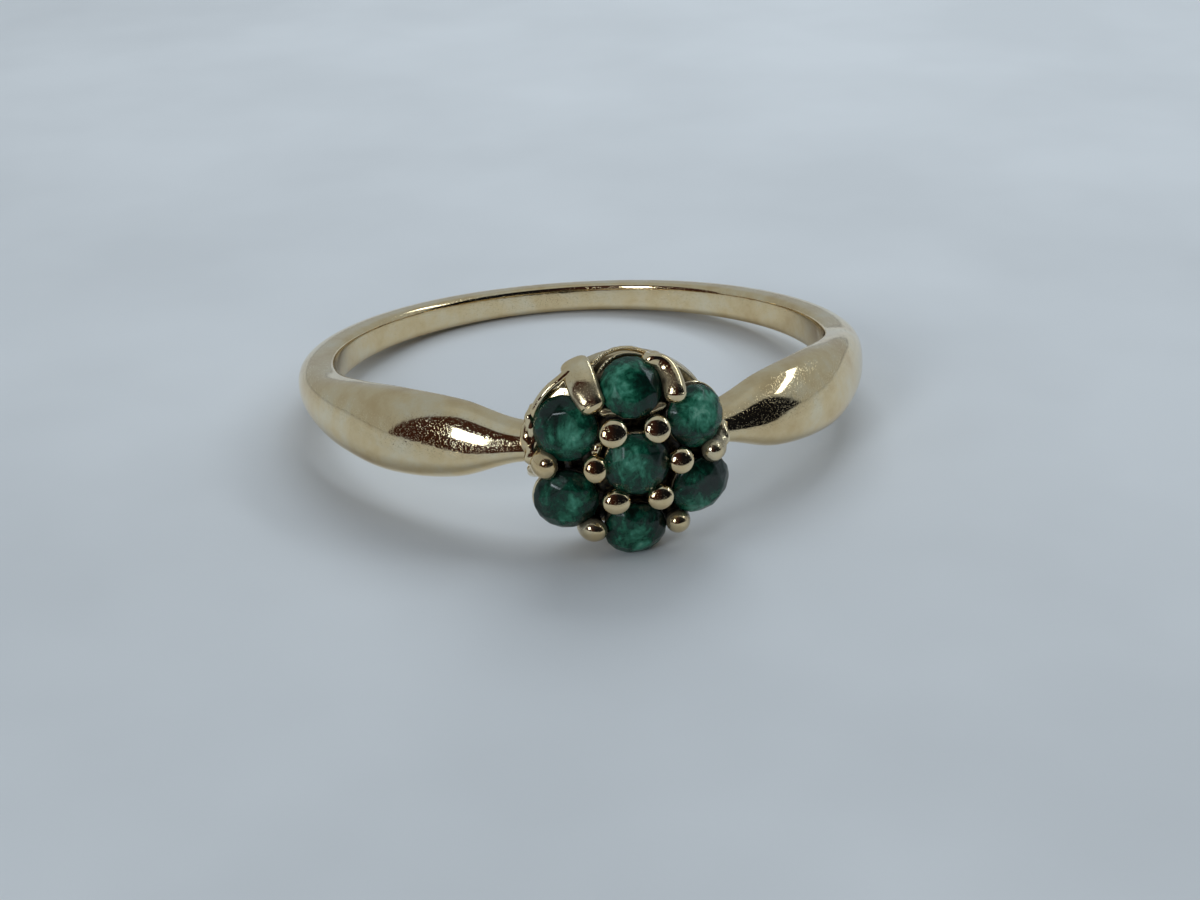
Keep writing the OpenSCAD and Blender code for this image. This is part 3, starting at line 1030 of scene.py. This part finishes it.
@dataclass
class CupJoints:
    """Old solder between the cups, dark with grime and painted shade: a ring round the centre cup, six bars and a few
    nubs.
    """

    ring_r: float = 1.19
    ring_z: float = -0.92
    ring_half: Pair = (0.36, 0.15)
    steps: int = 72
    around: int = 16
    bar: Stem = Stem((Knot((1.25, 0.0, -1.00), 0.40, 0.16), Knot((1.95, 0.0, -1.20), 0.46, 0.17),
                      Knot((2.55, 0.0, -1.45), 0.36, 0.16)), (0.0, 1.0, 0.0), lumps=0.10, lump_mm=0.4)
    nub: Stem = Stem((Knot((-0.05, 0.0, 0.0), 0.11, 0.11), Knot((0.05, 0.0, 0.0), 0.11, 0.11)), (0.0, 1.0, 0.0),
                     around=20, lumps=0.3, lump_mm=0.12)
    nubs: tuple[Spot, ...] = (
        Spot((-1.14, 0.50, -0.24), (0, 0, 60), (1.3, 1.2, 1.1)), Spot((0.72, 1.60, -0.34), (0, 0, 20), (1.8, 1.1, 1.0)),
        Spot((-0.72, 1.60, -0.34), (0, 0, -10), (1.8, 1.1, 1.0)),
        Spot((-1.98, -0.02, -0.62), (0, 0, 90), (1.1, 0.9, 0.9)))

    def build(self, finish: Material) -> list[Object]:
        """Build the ring, the bars and the nubs.

        Args:
            finish: Material of the gold.

        Returns:
            The three pieces, entered in the frame.
        """
        wide, tall = self.ring_half
        profile = [(self.ring_r + wide * math.cos(t), self.ring_z + tall * math.sin(t)) for t in full_turn(self.around)]
        points = [polar(r, a, z) for a in full_turn(self.steps) for r, z in profile]
        mesh = mesh_from("joint_ring", points, join_rings(self.steps, self.around, True), PLACE.head())
        pieces = [enter(show(mesh, finish))]
        bar = mesh_from("joint_bar", *self.bar.skin(), Matrix.Identity(4))
        six = Copies([Spot((0.0, 0.0, 0.0), (0, 0, 60 * i)) for i in range(6)])
        pieces.append(enter(six.bake("joint_bars", bar, PLACE.head(), finish)))
        nub = mesh_from("nub", *self.nub.skin(), Matrix.Identity(4))
        pieces.append(enter(Copies(self.nubs, spread=0.1, seed=3).bake("solder_nubs", nub, PLACE.head(), finish)))
        return pieces


@dataclass(frozen=True)
class StoneSpot:
    """Where one stone sits, how it is turned, how milky it is, and where its painted highlight and painted shade lie.
    """

    node: str
    petal: int | None
    turn_deg: float
    milkiness: float
    glow: Pair
    gloom: Pair


@dataclass
class Stones:
    """Seven round cut stones with worn facet edges.

    The keel is the ring where the pavilion's lower facets start, and marks are the places of the painted highlight and
    painted shade.
    """

    girdle_r: float = 1.0
    girdle_h: float = 0.08
    crown_h: float = 0.36
    pavilion_h: float = 0.84
    table_r: float = 0.56
    mid_r: float = 0.815
    mid_share: float = 0.574
    keel_share: float = 0.42
    keel_out: float = 1.05
    wear: float = 0.09
    wear_steps: int = 4
    mark_z: float = 0.2
    spots: tuple[StoneSpot, ...] = (
        StoneSpot("centre_stone", None, 8, 0.52, (-0.30, 0.32), (0.62, 0.20)),
        StoneSpot("petal_stone_1", 0, 3, 0.56, (-0.40, 0.10), (0.40, 0.15)),
        StoneSpot("petal_stone_2", 1, 14, 0.52, (0.10, -0.02), (-0.40, 0.55)),
        StoneSpot("petal_stone_3", 2, 27, 0.42, (0.05, -0.25), (0.65, -0.45)),
        StoneSpot("petal_stone_4", 3, 6, 0.42, (0.05, -0.30), (0.70, 0.40)),
        StoneSpot("petal_stone_5", 4, 33, 0.30, (-0.20, -0.62), (0.20, 0.35)),
        StoneSpot("petal_stone_6", 5, 19, 0.62, (0.15, 0.15), (-0.60, -0.50)))

    def cut(self) -> Skin:
        """Give the points and flat faces of one stone: table, stars, kites, halves, girdle and pavilion.

        Returns:
            The points in mm and the faces as corner numbers.
        """
        top = self.girdle_h / 2 + self.crown_h
        mid = self.girdle_h / 2 + self.crown_h * self.mid_share
        low = -self.girdle_h / 2
        keel_r, keel_z = self.girdle_r * self.keel_share * self.keel_out, low - self.pavilion_h * (1 - self.keel_share)

        def ring(r: float, z: float, count: int, shift: float) -> list[Vector]:
            """Give evenly spaced points at one radius and height."""
            return [polar(r, (i + shift) * 2 * math.pi / count, z) for i in range(count)]

        points = (ring(self.table_r, top, 8, 0) + ring(self.mid_r, mid, 8, 0.5)
                  + ring(self.girdle_r, self.girdle_h / 2, 16, 0) + ring(self.girdle_r, low, 16, 0)
                  + ring(keel_r, keel_z, 8, 0.5) + [Vector((0.0, 0.0, low - self.pavilion_h))])
        mid_0, up_0, low_0, keel_0, culet = 8, 16, 32, 48, 56
        faces: list[tuple[int, ...]] = [tuple(range(8))]
        for i in range(8):
            n, b = (i + 1) % 8, (i - 1) % 8
            faces += [(i, mid_0 + i, n), (i, mid_0 + b, up_0 + 2 * i, mid_0 + i),
                      (mid_0 + i, up_0 + 2 * i, up_0 + 2 * i + 1),
                      (mid_0 + i, up_0 + 2 * i + 1, up_0 + 2 * n),
                      (keel_0 + i, low_0 + 2 * i, low_0 + 2 * i + 1),
                      (keel_0 + i, low_0 + 2 * i + 1, low_0 + 2 * n),
                      (culet, keel_0 + b, low_0 + 2 * i, keel_0 + i)]
        faces += [(up_0 + i, low_0 + i, low_0 + (i + 1) % 16, up_0 + (i + 1) % 16) for i in range(16)]
        return points, faces

    def build(self, finish: Material) -> list[Object]:
        """Build the seven stones, each a piece that stands for its own node.

        Args:
            finish: Material of the stones.

        Returns:
            The seven stones, entered in the frame.
        """
        pieces = []
        for spot in self.spots:
            seat = Matrix.Identity(4) if spot.petal is None else PLACE.petal(spot.petal)
            place = PLACE.head() @ seat @ Matrix.Rotation(math.radians(spot.turn_deg), 4, "Z")
            mesh = mesh_from("cut_" + spot.node, *self.cut(), place, smooth=False)
            work = bmesh.new()
            work.from_mesh(mesh)
            done = bmesh.ops.bevel(work, geom=work.edges[:], offset=self.wear * MM, segments=self.wear_steps,
                                   profile=0.5, affect="EDGES", clamp_overlap=True)
            for face in done["faces"]:
                face.smooth = True
            bmesh.ops.recalc_face_normals(work, faces=work.faces)
            work.to_mesh(mesh)
            work.free()
            back, middle, count = PLACE.head().inverted(), seat.translation, len(mesh.vertices)
            mesh.attributes.new("milkiness", "FLOAT", "POINT").data.foreach_set("value", [spot.milkiness] * count)
            # Each stone carries the places of its painted highlight and painted shade.
            for key, values in (("glow", (*spot.glow, self.mark_z) * count),
                                ("gloom", (*spot.gloom, self.mark_z) * count),
                                ("local", [c for v in mesh.vertices for c in ((back @ v.co) - middle)])):
                mesh.attributes.new(key, "FLOAT_VECTOR", "POINT").data.foreach_set("vector", values)
            pieces.append(enter(show(mesh, finish), Slot.STONE, spot.node))
        return pieces


@dataclass(frozen=True)
class Lamp:
    """One soft lamp: its place, size, brightness and tint, whether the gold mirrors it, and its turn about its axis."""

    name: str
    toward: Triple
    far_mm: float
    size_mm: Pair
    radiance: float
    tint: str = "#EBF7FF"
    mirrored: bool = True
    roll_deg: float = 0.0

    def hang(self) -> None:
        """Hang the lamp so that it faces the ring."""
        data = bpy.data.lights.new(self.name, "AREA")
        data.shape = "RECTANGLE"
        data.size, data.size_y = (s * MM for s in self.size_mm)
        data.energy = self.radiance * math.pi * data.size * data.size_y
        data.color = linear(self.tint)[:3]
        lamp = bpy.data.objects.new(self.name, data)
        way = Vector(self.toward).normalized()
        lamp.location = way * self.far_mm * MM
        roll = Matrix.Rotation(math.radians(self.roll_deg), 3, "Z")
        lamp.rotation_euler = (way.to_track_quat("Z", "Y").to_matrix() @ roll).to_euler()
        lamp.visible_glossy = self.mirrored
        bpy.context.scene.collection.objects.link(lamp)


@dataclass
class Studio:
    """Paper, light tent, lamps and camera.

    The opening's sides are planes through the ring: directions on the front side of all of them look out of the tent.
    """

    paper_mm: float = 600.0
    paper_z: float = -0.004
    walls: float = 0.43
    roof: float = 0.50
    tent: str = "#EBF7FF"
    room_black: str = "#121318"
    room_brown: str = "#38211A"
    opening_sides: tuple[Triple, ...] = ((0.085, -0.977, -0.195), (-0.194, -0.926, -0.324))
    opening_soft: float = 0.03
    camera_turn_deg: float = -8.391
    camera_rise_deg: float = 26.306
    camera_roll_deg: float = -1.830
    camera_mm: float = 70.0
    shift_mm: Pair = (0.4667, -1.1199)
    lens_mm: float = 59.98
    sensor_mm: float = 36.0
    clip_m: Pair = (0.001, 10.0)
    lamps: tuple[Lamp, ...] = (
        Lamp("window", (-0.601, -0.668, 0.438), 300, (72, 96), 10.0),
        Lamp("strip", (0.740, 0.065, 0.669), 300, (250, 34), 5.0, roll_deg=17.0),
        Lamp("fill", (0.196, 0.588, 0.784), 125, (90, 60), 3.2, mirrored=False),
        Lamp("front_fill", (-0.169, -0.508, 0.845), 200, (120, 120), 0.35, mirrored=False))

    def lay_paper(self) -> None:
        """Lay the paper under the ring."""
        points = [Vector((x * self.paper_mm, y * self.paper_mm, self.paper_z))
                  for x, y in ((-1, -1), (1, -1), (1, 1), (-1, 1))]
        mesh = mesh_from("paper", points, [(0, 1, 2, 3)], Matrix.Scale(MM, 4), smooth=False)
        if mesh.polygons[0].normal.z < 0:
            mesh.flip_normals()
        show(mesh, MattPaper().material())

    def hang_tent(self) -> None:
        """Light the world as a white tent whose front is open on a dark room."""
        world = bpy.data.worlds.new("light_tent")
        bpy.context.scene.world = world
        world.use_nodes = True
        tree = world.node_tree
        tree.nodes.clear()
        way = add_node(tree, "ShaderNodeTexCoord").outputs["Generated"]
        x, _, z = add_node(tree, "ShaderNodeSeparateXYZ", {}, {0: way}).outputs
        seen = add_node(tree, "ShaderNodeLightPath").outputs["Is Camera Ray"]
        dark = add_node(tree, "ShaderNodeMath", {"operation": "SUBTRACT", 0: 1.0}, {1: seen})
        for normal in self.opening_sides:
            inside = add_node(tree, "ShaderNodeVectorMath", {"operation": "DOT_PRODUCT", 1: normal}, {0: way})
            soft = add_node(tree, "ShaderNodeMapRange", {1: -self.opening_soft, 2: self.opening_soft},
                            {0: inside.outputs["Value"]})
            dark = add_node(tree, "ShaderNodeMath", {"operation": "MULTIPLY"}, {0: dark, 1: soft})
        aside = add_node(tree, "ShaderNodeMapRange", {1: -0.25, 2: 0.20}, {0: x})
        room = add_node(tree, "ShaderNodeMix", {"data_type": "RGBA", 6: linear(self.room_brown),
                                                7: linear(self.room_black)}, {0: aside})
        colour = add_node(tree, "ShaderNodeMix", {"data_type": "RGBA", 6: linear(self.tent)},
                          {0: dark, 7: room.outputs[2]})
        bright = add_node(tree, "ShaderNodeMapRange", {1: 0.90, 2: 0.97, 3: self.walls, 4: self.roof}, {0: z})
        strength = add_node(tree, "ShaderNodeMix", {"data_type": "FLOAT", 3: 1.0}, {0: dark, 2: bright})
        light = add_node(tree, "ShaderNodeBackground", {}, {"Color": colour.outputs[2], "Strength": strength})
        add_node(tree, "ShaderNodeOutputWorld", {}, {"Surface": light})

    def set_camera(self) -> None:
        """Set the camera where the photograph was taken from."""
        a, e, c = (math.radians(v) for v in (self.camera_turn_deg, self.camera_rise_deg, self.camera_roll_deg))
        back = Vector((math.sin(a) * math.cos(e), -math.cos(a) * math.cos(e), math.sin(e)))
        side = Vector((math.cos(a), math.sin(a), 0.0))
        up = back.cross(side)
        right = math.cos(c) * side + math.sin(c) * up
        upright = -math.sin(c) * side + math.cos(c) * up
        spot = (self.shift_mm[0] * right + self.shift_mm[1] * upright + self.camera_mm * back) * MM
        data = bpy.data.cameras.new("camera")
        data.lens, data.sensor_width, data.sensor_fit = self.lens_mm, self.sensor_mm, "HORIZONTAL"
        data.clip_start, data.clip_end = self.clip_m
        camera = bpy.data.objects.new("camera", data)
        camera.matrix_world = Matrix.Translation(spot) @ Matrix((right, upright, back)).transposed().to_4x4()
        bpy.context.scene.collection.objects.link(camera)
        bpy.context.scene.camera = camera

    def build(self) -> None:
        """Set up the whole studio."""
        bpy.context.scene.view_settings.view_transform = "Standard"
        self.set_camera()
        self.lay_paper()
        self.hang_tent()
        for lamp in self.lamps:
            lamp.hang()


def plain(box: Sequence[Sequence[float]]) -> list[list[float]]:
    """Turn a box into plain lists of numbers."""
    return [[float(v) for v in corner] for corner in box]


def main() -> None:
    """Build the ring piece by piece, then the studio."""
    logging.basicConfig(level=logging.INFO, format="%(name)s %(message)s")
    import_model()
    gold = WornGold().material()
    for part in (Shank(), Cups(), CupJoints(), Gallery(), OuterClaws(), InnerClaws(), TopRim(), SolderWork()):
        part.build(gold)
    Stones().build(CloudyEmerald().material())
    Studio().build()


if __name__ == "__main__":
    main()
